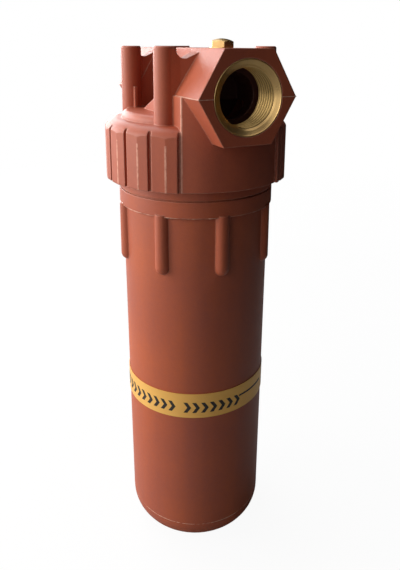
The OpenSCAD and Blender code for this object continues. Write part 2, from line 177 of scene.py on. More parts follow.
# %% Sizes
MM = 0.001
SAME = 0.02 * MM             # radii that differ by less are the same
TINY = 0.1 * MM
TURN = 2 * math.pi
insert_low, insert_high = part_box("inlet_insert")
bowl_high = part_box("bowl")[1]
head_low, head_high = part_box("head")
PORT_Z = (insert_low.z + insert_high.z) / 2
PORT_FACE = -insert_low.y
INSERT_R = (insert_high.z - insert_low.z) / 2
INSERT_LENGTH = insert_high.y - insert_low.y
bowl_verts, head_verts = vertices_of(nodes["bowl"]), vertices_of(nodes["head"])
bowl_radii = np.hypot(bowl_verts[:, 0], bowl_verts[:, 1])
head_radii = np.hypot(head_verts[:, 0], head_verts[:, 1])
on_port_face = head_verts[:, 1] < -PORT_FACE + TINY
HEX_R = float(np.abs(head_verts[on_port_face][:, 0]).max())


def bowl_radius(z, slack=1.0 * MM):
    """The bowl's outer radius near a height, from the vertices within a little of it."""
    near = np.abs(bowl_verts[:, 2] - z) < slack
    return float(bowl_radii[near].max())


print("port axis at", round(PORT_Z / MM, 1), "mm, port faces at", round(PORT_FACE / MM, 1), "mm")

# %% [markdown]
# ## Surfaces from numpy
# Every added piece is a function of two parameters, worked out for a whole grid
# at once. One helper joins the grid's neighbours with faces, another puts the
# arrays into a mesh. Normals are recalculated, so that faces point outwards.

# %% Mesh helpers


def grid_faces(rows, cols, wrap_rows=False):
    """Quads between neighbours of a rows x cols grid that is closed across its columns,
    and along its rows too if asked."""
    i, j = np.meshgrid(np.arange(rows if wrap_rows else rows - 1), np.arange(cols), indexing="ij")
    below, right = (i + 1) % rows, (j + 1) % cols
    corners = [i * cols + j, below * cols + j, below * cols + right, i * cols + right]
    return np.stack(corners, -1).reshape(-1, 4)


def end_caps(rows, cols):
    """The two faces that close the ends of a tube-like grid."""
    return [list(range(cols)), list(range((rows - 1) * cols, rows * cols))]


def mesh_object(name, verts, faces):
    """An object at the origin, with a mesh from vertices and faces."""
    mesh = bpy.data.meshes.new(name)
    mesh.from_pydata(np.reshape(verts, (-1, 3)).tolist(), [], faces)
    made = bpy.data.objects.new(name, mesh)
    bpy.context.scene.collection.objects.link(made)
    return made


def mesh_piece(name, verts, faces, body, sharp=35):
    """A mesh object that rides on a body, with outward faces, smooth except across
    edges sharper than an angle."""
    piece = mesh_object(name, verts, faces)
    mesh = piece.data
    work = bmesh.new()
    work.from_mesh(mesh)
    bmesh.ops.recalc_face_normals(work, faces=work.faces)
    work.to_mesh(mesh)
    work.free()
    mesh.shade_smooth()
    mesh.set_sharp_from_angle(angle=math.radians(sharp))
    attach(piece, body)
    print(name, "has", len(mesh.polygons), "faces")
    return piece


# %% [markdown]
# ## Pipe threads in the brass inserts
# The ports take a one inch parallel pipe thread, eleven turns to the inch. A
# thread could be faked with a bump, but the camera looks straight into the
# port, so the crests are real: the bore's radius swings between crest and root
# along the axis, and the swing is turned with the angle, which makes a helix.

# %% Threaded inserts
PIPE_PITCH = 2.309 * MM
PIPE_CREST_R, PIPE_ROOT_R = 15.4 * MM, 16.6 * MM
MOUTH_R, CONE_R = 19.2 * MM, 17.0 * MM
CONE_FROM, CONE_TO = 1.3 * MM, 2.6 * MM
INNER_CONE_SLOPE, INNER_RIM = 0.8, 0.3 * MM
FLANGE_T = 3.0 * MM
BODY_R = INSERT_R - 1.2 * MM
BROKEN_EDGE = 0.25 * MM
CREST_FLAT = 0.175
BORE_STEPS, ROUND_STEPS = 170, 144


def threaded_insert(name, side, node):
    """A turned brass insert. Along its closed section, a radius r and a depth d from the
    face are listed: the outside, then the bore from its inner end to the mouth. In the
    bore, r = crest + (root - crest) * wave(d / pitch - side * angle / turn), with wave a
    clipped zigzag, and r is never less than the cones at its two ends allow."""
    outside = np.array([
        (MOUTH_R + BROKEN_EDGE, 0), (INSERT_R - BROKEN_EDGE, 0), (INSERT_R, BROKEN_EDGE),
        (INSERT_R, FLANGE_T), (BODY_R, FLANGE_T + TINY / 10),
        (BODY_R, INSERT_LENGTH - BROKEN_EDGE), (BODY_R - BROKEN_EDGE, INSERT_LENGTH),
        (PIPE_ROOT_R + INNER_RIM, INSERT_LENGTH),
    ])
    bore = np.linspace(INSERT_LENGTH - TINY, CONE_FROM, BORE_STEPS)
    lip = np.array([
        (CONE_R + TINY, CONE_FROM - TINY), (MOUTH_R - TINY, 1.5 * BROKEN_EDGE),
        (MOUTH_R, BROKEN_EDGE),
    ])
    mouth_cone = CONE_R - (bore - CONE_FROM) * (CONE_R - PIPE_CREST_R) / (CONE_TO - CONE_FROM)
    inner_cone = PIPE_ROOT_R - (INSERT_LENGTH - bore) * INNER_CONE_SLOPE
    angle = np.linspace(0, TURN, ROUND_STEPS, endpoint=False)[:, None]
    zigzag = np.abs((bore / PIPE_PITCH - side * angle / TURN) % 1 * 2 - 1)
    wave = np.clip((1 + 2 * CREST_FLAT) * zigzag - CREST_FLAT, 0, 1)
    thread = PIPE_CREST_R + (PIPE_ROOT_R - PIPE_CREST_R) * wave
    thread = np.maximum(thread, np.maximum(mouth_cone, inner_cone))
    whole = np.ones_like(angle)
    r = np.concatenate([outside[:, 0] * whole, thread, lip[:, 0] * whole], -1)
    d = np.r_[outside[:, 1], bore, lip[:, 1]]
    y = side * (PORT_FACE - d) + 0 * angle
    surface = np.stack([r * np.cos(angle), y, PORT_Z + r * np.sin(angle)], -1)
    faces = grid_faces(*r.shape, wrap_rows=True)
    insert = mesh_piece(name, surface, faces, "head", sharp=30)
    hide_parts(node)
    return insert


inlet_turned = threaded_insert("inlet_turned_insert", -1, "inlet_insert")
outlet_turned = threaded_insert("outlet_turned_insert", 1, "outlet_insert")

# %% [markdown]
# ## The coarse thread on the bowl's neck
# The bowl hangs in the head by a coarse thread, which shows once it is lowered.
# The CAD model leaves a plain relief for it. Here a rounded ridge runs along a
# helix in that relief, and stays inside the neck's radius, so that it clears the
# head's bore as the bowl is unscrewed.

# %% Bowl thread
BOWL_PITCH = 5.0 * MM
RIDGE_HALF = 1.0 * MM
STEPS_A_TURN, RUN_OUT, RUN_OUT_LEAST = 96, 1 / 8, 0.05
RIDGE_CLEAR, RIDGE_RAISED = 0.2 * MM, 0.5 * MM
RELIEF_Z0, RELIEF_Z1 = head_low.z + 3 * MM, bowl_high.z - 9.3 * MM
neck_r = bowl_radius(bowl_high.z)
relief_r = bowl_radius((RELIEF_Z0 + RELIEF_Z1) / 2, slack=3 * MM)
RIDGE_ACROSS = np.array([-1, -0.6, -0.35, 0.35, 0.6, 1, 1, -1])
RIDGE_OUT = np.array([0, 0.75, 1, 1, 0.75, 0, -0.15, -0.15])


def helix_ridge(name, root, crest, z0, z1, body):
    """A ridge on a right-hand helix: at turn t its middle is at angle t * turn and height
    z0 + half + t * pitch. Across it, a loop of eight points makes a rounded trapezium between
    the root and crest radii, which shrinks to nothing at both ends."""
    turns = (z1 - z0 - 2 * RIDGE_HALF) / BOWL_PITCH
    t = np.linspace(0, turns, int(STEPS_A_TURN * turns))[:, None]
    grow = np.clip(np.minimum(t, turns - t) / RUN_OUT, RUN_OUT_LEAST, 1)
    r = root + (crest - root) * RIDGE_OUT * grow
    z = z0 + RIDGE_HALF + t * BOWL_PITCH + RIDGE_ACROSS * RIDGE_HALF * grow
    angle = TURN * t + 0 * r
    surface = np.stack([r * np.cos(angle), r * np.sin(angle), z], -1)
    faces = grid_faces(*r.shape).tolist() + end_caps(*r.shape)
    return mesh_piece(name, surface, faces, body)


bowl_thread = helix_ridge("bowl_thread", relief_r, neck_r - RIDGE_CLEAR,
                          RELIEF_Z0 + RIDGE_RAISED, RELIEF_Z1, "bowl")
print("neck", round(neck_r / MM, 2), "mm, relief", round(relief_r / MM, 2), "mm")

# %% [markdown]
# ## Mould lines
# Plastic creeps a little way into the joints of a mould, and leaves thin raised
# lines. They could be drawn in the material, but real lines stand out of the
# surface and catch the light, so each is a low ridge swept along a path.

# %% Ridge along a path
SECTION_STEPS = 8
noise = np.random.default_rng(7)


def ridge_along(name, path, across, out, width, height, body):
    """A low ridge swept along a closed or open path. At each path point, two unit
    vectors give across and out. The section is p + across * width / 2 * cos(a)
    + out * height * sin(a), with a in even steps."""
    a = np.linspace(0, TURN, SECTION_STEPS, endpoint=False)
    section = (across[:, None] * (width[:, None] / 2 * np.cos(a))[..., None]
               + out[:, None] * (height[:, None] * np.sin(a))[..., None])
    surface = path[:, None] + section
    rows, cols = surface.shape[:2]
    closed = np.allclose(path[0], path[-1], atol=1e-7)
    if closed:
        surface, rows = surface[:-1], rows - 1
    faces = grid_faces(rows, cols, wrap_rows=closed).tolist()
    faces += [] if closed else end_caps(rows, cols)
    return mesh_piece(name, surface, faces, body, sharp=80)


def circle_of(radius, z, steps=180):
    """A closed circle of points round the bowl, radius * (cos a, sin a) at height z, with
    its outward unit vectors (cos a, sin a)."""
    angle = np.linspace(0, TURN, steps + 1)
    out = np.stack([np.cos(angle), np.sin(angle), 0 * angle], -1)
    return out * radius + np.array([0, 0, z]), out


def upward(path):
    """The unit vector +Z at each point of a path."""
    return np.tile([0.0, 0.0, 1.0], (len(path), 1))


THINNEST = 0.25


def ragged_run(count, window, low, gain):
    """Random sizes from the thinnest to 1 along a closed line: white noise, averaged over
    a window, then (noise - low) * gain, clipped."""
    run = np.convolve(noise.random(count + window - 1), np.ones(window) / window, "valid")
    run = np.clip((run - low) * gain, THINNEST, 1)
    run[-1] = run[0]
    return run


# %% Foot line and collar flash
FOOT_LINE_W, FOOT_LINE_H, FOOT_LINE_SUNK = 0.55 * MM, 0.16 * MM, 0.05 * MM
foot_place = place_on(POINTS["foot_line"], nodes["bowl"])
foot_r = math.hypot(foot_place.x, foot_place.y)
path, out = circle_of(foot_r - FOOT_LINE_SUNK, foot_place.z)
broken = 0.3 + 0.7 * ragged_run(len(path), window=5, low=0.42, gain=5)
foot_line = ridge_along("foot_line", path, upward(path), out, FOOT_LINE_W * broken,
                        FOOT_LINE_H * broken, "bowl")

COLLAR_FLASH_W, COLLAR_FLASH_H = 0.5 * MM, 0.4 * MM
UNDER_HEAD, UPPER_COLLAR = 20 * MM, 9 * MM
at_collar = (bowl_verts[:, 2] < head_low.z) & (bowl_verts[:, 2] > head_low.z - UNDER_HEAD)
collar_r = bowl_radii[at_collar & (bowl_verts[:, 2] > head_low.z - UPPER_COLLAR)].max()
at_collar &= np.abs(bowl_radii - collar_r) < SAME
collar_z0 = bowl_verts[at_collar, 2].min()
path, out = circle_of(collar_r - TINY, collar_z0 + TINY, steps=720)
ragged = ragged_run(len(path), window=9, low=0.42, gain=5)
collar_flash = ridge_along("collar_flash", path, upward(path), out, COLLAR_FLASH_W * ragged,
                           COLLAR_FLASH_H * ragged, "bowl")
print("foot line at", round(foot_place.z / MM, 1), "mm, collar from", round(collar_z0 / MM, 1), "mm")

# %% Port flash
FLASH_W, FLASH_H, FLASH_SUNK = 0.5 * MM, 0.28 * MM, 0.12 * MM
FACE_STEPS, BACK_STEPS = 30, 80
HEX_BACK = 31 * MM


def port_flash(name, x_side, y_side):
    """Flash where the two halves of the port's mould met: across the face from the
    insert to the hexagon's corner, then back along that corner, as one bent line."""
    on_face = np.linspace(INSERT_R + TINY, HEX_R - TINY, FACE_STEPS)
    back = np.linspace(PORT_FACE, HEX_BACK, BACK_STEPS)
    x = x_side * np.r_[on_face, np.full(len(back), HEX_R - FLASH_SUNK)]
    y = y_side * np.r_[np.full(len(on_face), PORT_FACE), back]
    path = np.stack([x, y, np.full(len(x), PORT_Z)], -1)
    out = np.zeros_like(path)
    out[:FACE_STEPS, 1], out[FACE_STEPS:, 0] = y_side, x_side
    out[FACE_STEPS - 1:FACE_STEPS + 1] = np.array([x_side, y_side, 0]) / math.sqrt(2)
    ragged = 0.5 + 0.8 * ragged_run(len(path), window=7, low=0.35, gain=3)
    return ridge_along(name, path, upward(path), out, FLASH_W * ragged, FLASH_H * ragged,
                       "head")


flash_lines = [
    port_flash(f"{port}_flash_{hand}", x_side, y_side)
    for port, y_side in (("inlet", -1), ("outlet", 1))
    for hand, x_side in (("left", -1), ("right", 1))
]

# %% [markdown]
# ## Print on the label band
# The band carries dark print. Here it is a generic row of arrow heads that point
# along the band, and a thin rule. The print could be an image, but small raised
# shapes that follow the band stay sharp at any distance.

# %% Label print
band_verts = vertices_of(nodes["label_band"])
band_radii = np.hypot(band_verts[:, 0], band_verts[:, 1])
outer = band_radii > np.median(band_radii)
BAND_TAPER, BAND_R0 = np.polyfit(band_verts[outer][:, 2], band_radii[outer], 1)
BAND_SLOPE, BAND_Z = np.polyfit(band_verts[:, 1], band_verts[:, 2], 1)
INK_T = 0.05 * MM
rule_start = place_on(POINTS["print_line_start"], nodes["label_band"])
RULE_ANGLE = math.atan2(rule_start.y, rule_start.x)
RULE_TURN, RULE_W = math.radians(31), 1.2 * MM
ARROWS, ARROW_GAP_AT, ARROW_GAP = 17, 10, 0.8
ARROW_STEP, ARROW_TO_RULE = math.radians(6.9), 0.75
ARROW_H, ARROW_LONG, ARROW_THICK, ARROW_DROP = 7.0 * MM, 2.4 * MM, 2.4 * MM, -0.6 * MM


def on_band(angle, height, lift):
    """A point on the tilted band: its height is the band's middle, plus slope * y, plus
    height, and its radius is the tapered band's, plus lift."""
    z = BAND_Z + height
    r = BAND_R0 + BAND_TAPER * z + lift
    z = z + BAND_SLOPE * r * np.sin(angle)
    return np.stack([r * np.cos(angle), r * np.sin(angle), z], -1)


def ink(name, angle, height):
    """Slabs of ink from two edges each: arrays of marks x points along x two edges. Each
    slab's section is a loop of four: both edges on top, and both underneath."""
    marks, rows = angle.shape[:2]
    loop_angle = np.concatenate([angle, angle[..., ::-1]], -1)
    loop_height = np.concatenate([height, height[..., ::-1]], -1)
    lift = np.array([INK_T, INK_T, -INK_T, -INK_T]) + 0 * loop_angle
    verts = on_band(loop_angle, loop_height, lift)
    one = np.concatenate([grid_faces(rows, 4), end_caps(rows, 4)])
    faces = (one + 4 * rows * np.arange(marks)[:, None, None]).reshape(-1, 4)
    return mesh_piece(name, verts, faces, "bowl", sharp=30)


u = np.linspace(-1, 1, 9)
places = np.arange(ARROWS) + (np.arange(ARROWS) >= ARROW_GAP_AT) * ARROW_GAP
from_rule = (places[-1] - places + ARROW_TO_RULE) * ARROW_STEP
repeats = np.array([0, math.pi])[:, None]
tips = (RULE_ANGLE - from_rule + repeats).reshape(-1, 1, 1)
band_r = BAND_R0 + BAND_TAPER * BAND_Z
along = (ARROW_LONG * (1 - np.abs(u))[:, None] + ARROW_THICK * np.array([0, 1])) / band_r
arrow_heads = ink("label_arrow_heads", tips + along,
                  ARROW_DROP + (ARROW_H / 2 * u)[None, :, None] + 0 * (tips + along))
rule = RULE_ANGLE + np.linspace(0, RULE_TURN, 40)[None, :, None] + repeats[..., None]
rule_height = float(rule_start.z - BAND_Z - BAND_SLOPE * rule_start.y)
label_rule = ink("label_rule", rule + np.zeros(2),
                 rule_height + RULE_W * np.array([-0.5, 0.5]) + 0 * rule)
print("rule starts at", round(math.degrees(RULE_ANGLE), 1), "degrees")

# %% [markdown]
# ## Effects that several finishes share
# Moulded plastic, brass and rubber all need slow colour changes, a fine grain
# and softened edges. Each effect is a node group, built once, which puts out
# only values and normals. The shader itself stays in the material.

# %% Node group helpers


def new_group(name, inputs, outputs):
    """A shader node group with float inputs (name, default) and outputs (name, kind)."""
    group = bpy.data.node_groups.new(name, "ShaderNodeTree")
    for socket_name, default in inputs:
        socket = group.interface.new_socket(socket_name, in_out="INPUT", socket_type="NodeSocketFloat")
        socket.default_value = default
    for socket_name, kind in outputs:
        group.interface.new_socket(socket_name, in_out="OUTPUT", socket_type=kind)
    return group, group.nodes.new("NodeGroupInput"), group.nodes.new("NodeGroupOutput")


def node_of(tree, kind, **settings):
    """A node of a kind, with properties and input defaults set by name. Inputs are
    named with spaces as underscores."""
    node = tree.nodes.new(kind)
    for key, value in settings.items():
        socket = key.replace("_", " ")
        if socket in node.inputs:
            node.inputs[socket].default_value = value
        else:
            setattr(node, key, value)
    return node


def maths(tree, operation, a, b=None, clamp=False):
    """A Math node whose operands are sockets or numbers; returns its output socket."""
    node = node_of(tree, "ShaderNodeMath", operation=operation, use_clamp=clamp)
    for slot, value in enumerate((a, b)):
        if isinstance(value, bpy.types.NodeSocket):
            tree.links.new(value, node.inputs[slot])
        elif value is not None:
            node.inputs[slot].default_value = value
    return node.outputs[0]


def object_axes(tree, centre=(0, 0, 0)):
    """Object coordinates from a centre, split into x, y and z."""
    moved = node_of(tree, "ShaderNodeVectorMath", operation="SUBTRACT")
    moved.inputs[1].default_value = centre
    tree.links.new(tree.nodes.new("ShaderNodeTexCoord").outputs["Object"], moved.inputs[0])
    split = tree.nodes.new("ShaderNodeSeparateXYZ")
    tree.links.new(moved.outputs[0], split.inputs[0])
    return split.outputs


def length_of(tree, a, b):
    """The length of a two-part vector, sqrt(a * a + b * b), from two sockets."""
    squares = [maths(tree, "MULTIPLY", part, part) for part in (a, b)]
    return maths(tree, "SQRT", maths(tree, "ADD", *squares))


def noise_value(tree, vector, scale, detail=3.0, roughness=0.5):
    """A noise texture's value on a vector, with its scale a number or a socket."""
    node = node_of(tree, "ShaderNodeTexNoise", Detail=detail, Roughness=roughness)
    tree.links.new(vector, node.inputs["Vector"])
    if isinstance(scale, bpy.types.NodeSocket):
        tree.links.new(scale, node.inputs["Scale"])
    else:
        node.inputs["Scale"].default_value = scale
    return node.outputs[0]


# %% Moulded skin group
skin, skin_in, skin_out = new_group(
    "moulded_skin",
    [("Cloud Scale", 14.0), ("Grain Scale", 1500.0)],
    [("Clouds", "NodeSocketFloat"), ("Grain", "NodeSocketFloat"), ("Streaks", "NodeSocketFloat"),
     ("Specks", "NodeSocketFloat")],
)
where = skin.nodes.new("ShaderNodeTexCoord").outputs["Object"]
STREAK_SCALE = (90, 90, 3)   # fine across, long upwards
SPECK_SCALE, SPECK_GAIN = 0.4, 4.0
stretched = node_of(skin, "ShaderNodeMapping")
stretched.inputs["Scale"].default_value = STREAK_SCALE
skin.links.new(where, stretched.inputs["Vector"])
clouds = noise_value(skin, where, skin_in.outputs["Cloud Scale"], detail=4)
grain = noise_value(skin, where, skin_in.outputs["Grain Scale"], detail=2)
streaks = noise_value(skin, stretched.outputs[0], 1.0, detail=2)
speck_size = maths(skin, "MULTIPLY", skin_in.outputs["Grain Scale"], SPECK_SCALE)
speck = noise_value(skin, where, speck_size, detail=3, roughness=0.65)
speck = maths(skin, "MULTIPLY", maths(skin, "SUBTRACT", speck, 0.5), SPECK_GAIN)
for name, value in (("Clouds", clouds), ("Grain", grain), ("Streaks", streaks), ("Specks", speck)):
    skin.links.new(value, skin_out.inputs[name])

# %% [markdown]
# Moulded and turned parts have no perfectly sharp edge. The Bevel node bends the
# normal near an edge, which catches a thin highlight, and the difference from
# the true normal also makes a mask that finds the edges, which the finishes paint
# paler, partly as wear and partly as a painted highlight.

# %% Soft edges group
soft, soft_in, soft_out = new_group(
    "soft_edges", [("Radius", 0.5 * MM)],
    [("Normal", "NodeSocketVector"), ("Edge", "NodeSocketFloat")],
)
bevel = node_of(soft, "ShaderNodeBevel", samples=6)
soft.links.new(soft_in.outputs["Radius"], bevel.inputs["Radius"])
flat = soft.nodes.new("ShaderNodeNewGeometry").outputs["Normal"]
facing = node_of(soft, "ShaderNodeVectorMath", operation="DOT_PRODUCT")
soft.links.new(bevel.outputs[0], facing.inputs[0])
soft.links.new(flat, facing.inputs[1])
EDGE_GAIN = 6.0
edge = maths(soft, "SUBTRACT", 1.0, facing.outputs["Value"])
edge = maths(soft, "MULTIPLY", edge, EDGE_GAIN, clamp=True)
soft.links.new(bevel.outputs[0], soft_out.inputs["Normal"])
soft.links.new(edge, soft_out.inputs["Edge"])
print("groups:", ", ".join(g.name for g in bpy.data.node_groups))

# %% [markdown]
# ## Finishes
# Each material is a Principled shader whose colour, roughness and bump come from
# the groups. Numbers that are the same all over the surface are set straight on
# the shader, because the exported model reads them there.

# %% Material helpers


def new_material(name, **constants):
    """A material with an emptied tree and a Principled shader set by constants."""
    material = bpy.data.materials.new(name)
    material.use_nodes = True
    tree = material.node_tree
    tree.nodes.clear()
    shader = node_of(tree, "ShaderNodeBsdfPrincipled", **constants)
    end = tree.nodes.new("ShaderNodeOutputMaterial")
    tree.links.new(shader.outputs[0], end.inputs["Surface"])
    return material, tree, shader


def group_in(tree, group, **inputs):
    """An instance of a node group with its inputs set by name."""
    node = tree.nodes.new("ShaderNodeGroup")
    node.node_tree = group
    for key, value in inputs.items():
        node.inputs[key.replace("_", " ")].default_value = value
    return node


def blend(tree, share, first, second):
    """A colour mix between two colours or colour sockets by a socket's value. A Mix
    node's colours are its inputs 6 and 7 and its output 2."""
    node = node_of(tree, "ShaderNodeMix", data_type="RGBA")
    tree.links.new(share, node.inputs["Factor"])
    for slot, colour in ((6, first), (7, second)):
        if isinstance(colour, bpy.types.NodeSocket):
            tree.links.new(colour, node.inputs[slot])
        else:
            node.inputs[slot].default_value = (*colour, 1)
    return node.outputs[2]


def between(tree, value, low, high):
    """A value from 0 to 1 stretched to a range."""
    return maths(tree, "ADD", maths(tree, "MULTIPLY", value, high - low), low)


def bump_on(tree, shader, height, distance, strength, normal=None):
    """A bump from a height socket, on top of another normal, into the shader."""
    bump = node_of(tree, "ShaderNodeBump", Distance=distance, Strength=strength)
    tree.links.new(height, bump.inputs["Height"])
    if normal:
        tree.links.new(normal, bump.inputs["Normal"])
    tree.links.new(bump.outputs[0], shader.inputs["Normal"])


# %% Moulded plastic
CLOUD_SHARE, STREAK_SHARE, SPECK_SHARE, TONE_CUT = 1.3, 0.5, 0.12, 0.4
PATCH_SHARE, PATCH_LEVEL, EDGE_WEAR_AND_HIGHLIGHT, ROUGH_SWING = 0.35, 0.8, 0.75, 0.1


def moulded_plastic(name, deep, light, rubbed_and_highlight_colour, rough, edge_radius=0.9 * MM):
    """Moulded plastic: two shades in slow clouds, upright streaks and fine specks,
    edges painted paler in places, as wear and as a painted highlight, a spark-eroded grain."""
    material, tree, shader = new_material(name, IOR=1.46, Specular_IOR_Level=0.5)
    surface = group_in(tree, skin, Cloud_Scale=16.0, Grain_Scale=1000.0)
    edges = group_in(tree, soft, Radius=edge_radius)
    clouds = surface.outputs["Clouds"]
    tone = maths(tree, "ADD", maths(tree, "MULTIPLY", clouds, CLOUD_SHARE),
                 maths(tree, "MULTIPLY", surface.outputs["Streaks"], STREAK_SHARE))
    tone = maths(tree, "ADD", tone, maths(tree, "MULTIPLY", surface.outputs["Specks"], SPECK_SHARE))
    tone = maths(tree, "SUBTRACT", tone, TONE_CUT, clamp=True)
    body_colour = blend(tree, tone, deep, light)
    patchy = maths(tree, "MULTIPLY", surface.outputs["Specks"], PATCH_SHARE)
    patchy = maths(tree, "ADD", patchy, PATCH_LEVEL, clamp=True)
    # Edges are painted paler: partly rubbed wear, partly a painted highlight where the edges catch the
    # light.
    rubbed_and_highlight = maths(tree, "MULTIPLY", edges.outputs["Edge"], maths(tree, "MULTIPLY", patchy, EDGE_WEAR_AND_HIGHLIGHT))
    tree.links.new(blend(tree, rubbed_and_highlight, body_colour, rubbed_and_highlight_colour), shader.inputs["Base Color"])
    dull = between(tree, clouds, rough - ROUGH_SWING, rough + ROUGH_SWING)
    tree.links.new(dull, shader.inputs["Roughness"])
    bump_on(tree, shader, surface.outputs["Grain"], distance=0.2 * MM, strength=0.4,
            normal=edges.outputs["Normal"])
    return material, tree, shader, patchy


# Rubbed colour: partly wear, partly a painted highlight. Passage colour: painted shade inside the ports.
RUBBED_AND_HIGHLIGHT, PASSAGE_PAINTED_SHADE = (0.68, 0.32, 0.23), (0.09, 0.024, 0.016)
head_plastic, tree, shader, patchy = moulded_plastic(
    "head_plastic", (0.32, 0.075, 0.046), (0.47, 0.104, 0.042), RUBBED_AND_HIGHLIGHT, 0.47)

# %% [markdown]
# The teeth of the ring are painted pale along their ridges, partly as wear where
# hands grip and partly as a painted highlight where the ridges catch the light, and
# so are the upright corners of the port blocks. The ridges stand at even angles, so
# the pale band is a narrow band of the angle round the axis. Inside the ports the
# plastic is painted darker: painted shade, where hardly any light gets in.

# %% Where the ridges and corners stand
TEETH = 20
RIDGE_HALF_ANGLE, RIDGE_BAND, BAND_EDGE = math.radians(0.9), 1.3 * MM, 0.2 * MM
CORNER_HALF, CORNER_BAND = 0.8 * MM, 0.9 * MM
PASSAGE_R, PASSAGE_EDGE = 17.6 * MM, 0.5 * MM
PATCHY_FROM, PATCHY_TO, WEAR_AND_HIGHLIGHT_GAIN = -0.9, 1.3, 1.2
RING_MIDDLE, RING_TOP = head_low.z + 15 * MM, head_low.z + 26 * MM
BLOCK_FRONT_X, BLOCK_FRONT_Y = 30 * MM, -40 * MM
on_ring = head_verts[:, 2] < RING_MIDDLE
ring_r = float(head_radii[on_ring].max())
ridges = head_verts[on_ring & (head_radii > ring_r - SAME)]
ridge_at = float(np.median(np.arctan2(ridges[:, 1], ridges[:, 0]) % (TURN / TEETH)))
print("ring radius", round(ring_r / MM, 2), "mm, ridges at", round(math.degrees(ridge_at), 2), "degrees")
on_block = on_ring & (np.abs(head_verts[:, 0]) < BLOCK_FRONT_X)
on_block &= head_verts[:, 1] < BLOCK_FRONT_Y
block_r = float(head_radii[on_block].max())
corner_x = float(np.abs(head_verts[on_block & (head_radii > block_r - SAME)][:, 0]).max())
print("block radius", round(block_r / MM, 2), "mm, corners at", round(corner_x / MM, 2), "mm")

# %% Pale ridges, as wear and painted highlight, and painted shade in the ports


def shell(tree, radius, inner, outer):
    """One between two radii, with soft edges: (r - inner) / edge, clipped from 0 to 1, and
    the same from outside."""
    rising = maths(tree, "DIVIDE", maths(tree, "SUBTRACT", radius, inner), BAND_EDGE, clamp=True)
    falling = maths(tree, "SUBTRACT", outer + 2 * BAND_EDGE, radius)
    return maths(tree, "MULTIPLY", rising, maths(tree, "DIVIDE", falling, BAND_EDGE, clamp=True))


x, y, z = object_axes(tree)
from_axis = length_of(tree, x, y)
off = maths(tree, "SUBTRACT", maths(tree, "ARCTAN2", y, x), ridge_at - TURN / TEETH / 2)
off = maths(tree, "SUBTRACT", maths(tree, "FLOORED_MODULO", off, TURN / TEETH), TURN / TEETH / 2)
ridge = maths(tree, "DIVIDE", maths(tree, "ABSOLUTE", off), RIDGE_HALF_ANGLE, clamp=True)
ridge = maths(tree, "SUBTRACT", 1.0, ridge)
ridge = maths(tree, "MULTIPLY", ridge, shell(tree, from_axis, ring_r - RIDGE_BAND, ring_r))
ridge = maths(tree, "MULTIPLY", ridge, maths(tree, "LESS_THAN", z, RING_TOP))
corner = maths(tree, "ABSOLUTE", maths(tree, "SUBTRACT", maths(tree, "ABSOLUTE", x), corner_x))
corner = maths(tree, "SUBTRACT", 1.0, maths(tree, "DIVIDE", corner, CORNER_HALF, clamp=True))
corner = maths(tree, "MULTIPLY", corner, shell(tree, from_axis, block_r - CORNER_BAND, block_r))
# Ridges and corners painted pale: partly wear, partly a painted highlight.
worn_and_highlight = maths(tree, "MAXIMUM", ridge, corner)
in_places = maths(tree, "MULTIPLY", between(tree, patchy, PATCHY_FROM, PATCHY_TO), WEAR_AND_HIGHLIGHT_GAIN)
worn_and_highlight = maths(tree, "MULTIPLY", worn_and_highlight, in_places, clamp=True)
coloured = shader.inputs["Base Color"].links[0].from_socket
coloured = blend(tree, worn_and_highlight, coloured, RUBBED_AND_HIGHLIGHT)
# Painted shade: the plastic inside the ports is painted darker, where little light gets in.
from_port = length_of(tree, x, maths(tree, "SUBTRACT", z, PORT_Z))
passage_shade = maths(tree, "DIVIDE", maths(tree, "SUBTRACT", PASSAGE_R, from_port), PASSAGE_EDGE, clamp=True)
tree.links.new(blend(tree, passage_shade, coloured, PASSAGE_PAINTED_SHADE), shader.inputs["Base Color"])
print(head_plastic.name, "has", len(tree.nodes), "shader nodes")

# %% Bowl, caps, cartridge and flash
bowl_plastic = moulded_plastic("bowl_plastic", (0.33, 0.080, 0.052), (0.50, 0.108, 0.034),
                               (0.62, 0.27, 0.18), 0.44)[0]
# The flash lines get a much paler plastic than what they stand on: a painted highlight.
flash_highlight_plastic = moulded_plastic("flash_highlight_plastic", (0.50, 0.20, 0.13), (0.80, 0.52, 0.40),
                                (0.85, 0.60, 0.48), 0.35, 0.2 * MM)[0]
cap_plastic = moulded_plastic("cap_plastic", (0.03, 0.032, 0.035), (0.05, 0.052, 0.055),
                              (0.12, 0.12, 0.12), 0.5, 0.3 * MM)[0]
white_plastic = moulded_plastic("white_plastic", (0.66, 0.66, 0.62), (0.80, 0.80, 0.77),
                                (0.85, 0.85, 0.83), 0.45, 0.3 * MM)[0]
print("plastics:", ", ".join(m.name for m in bpy.data.materials if m.name.endswith("_plastic")))

# %% [markdown]
# Turned brass shows fine rings from the lathe, which follow the port's axis. On
# Object coordinates, a stretched noise along that axis gives them, and a slow
# cloud darkens the metal where it has tarnished.

# %% Turned brass
BRASS_DARK, BRASS_LIGHT = (0.46, 0.28, 0.11), (0.82, 0.55, 0.23)
# Rubbed brass: partly wear, partly a painted highlight on edges and thread crests. Grime: partly grime,
# partly painted shade in the thread's roots.
BRASS_RUBBED_AND_HIGHLIGHT, BRASS_GRIME_AND_SHADE = (0.80, 0.53, 0.20), (0.05, 0.026, 0.010)
GRIME_AND_SHADE_POWER, LATHE_SCALE = 0.6, 3200.0


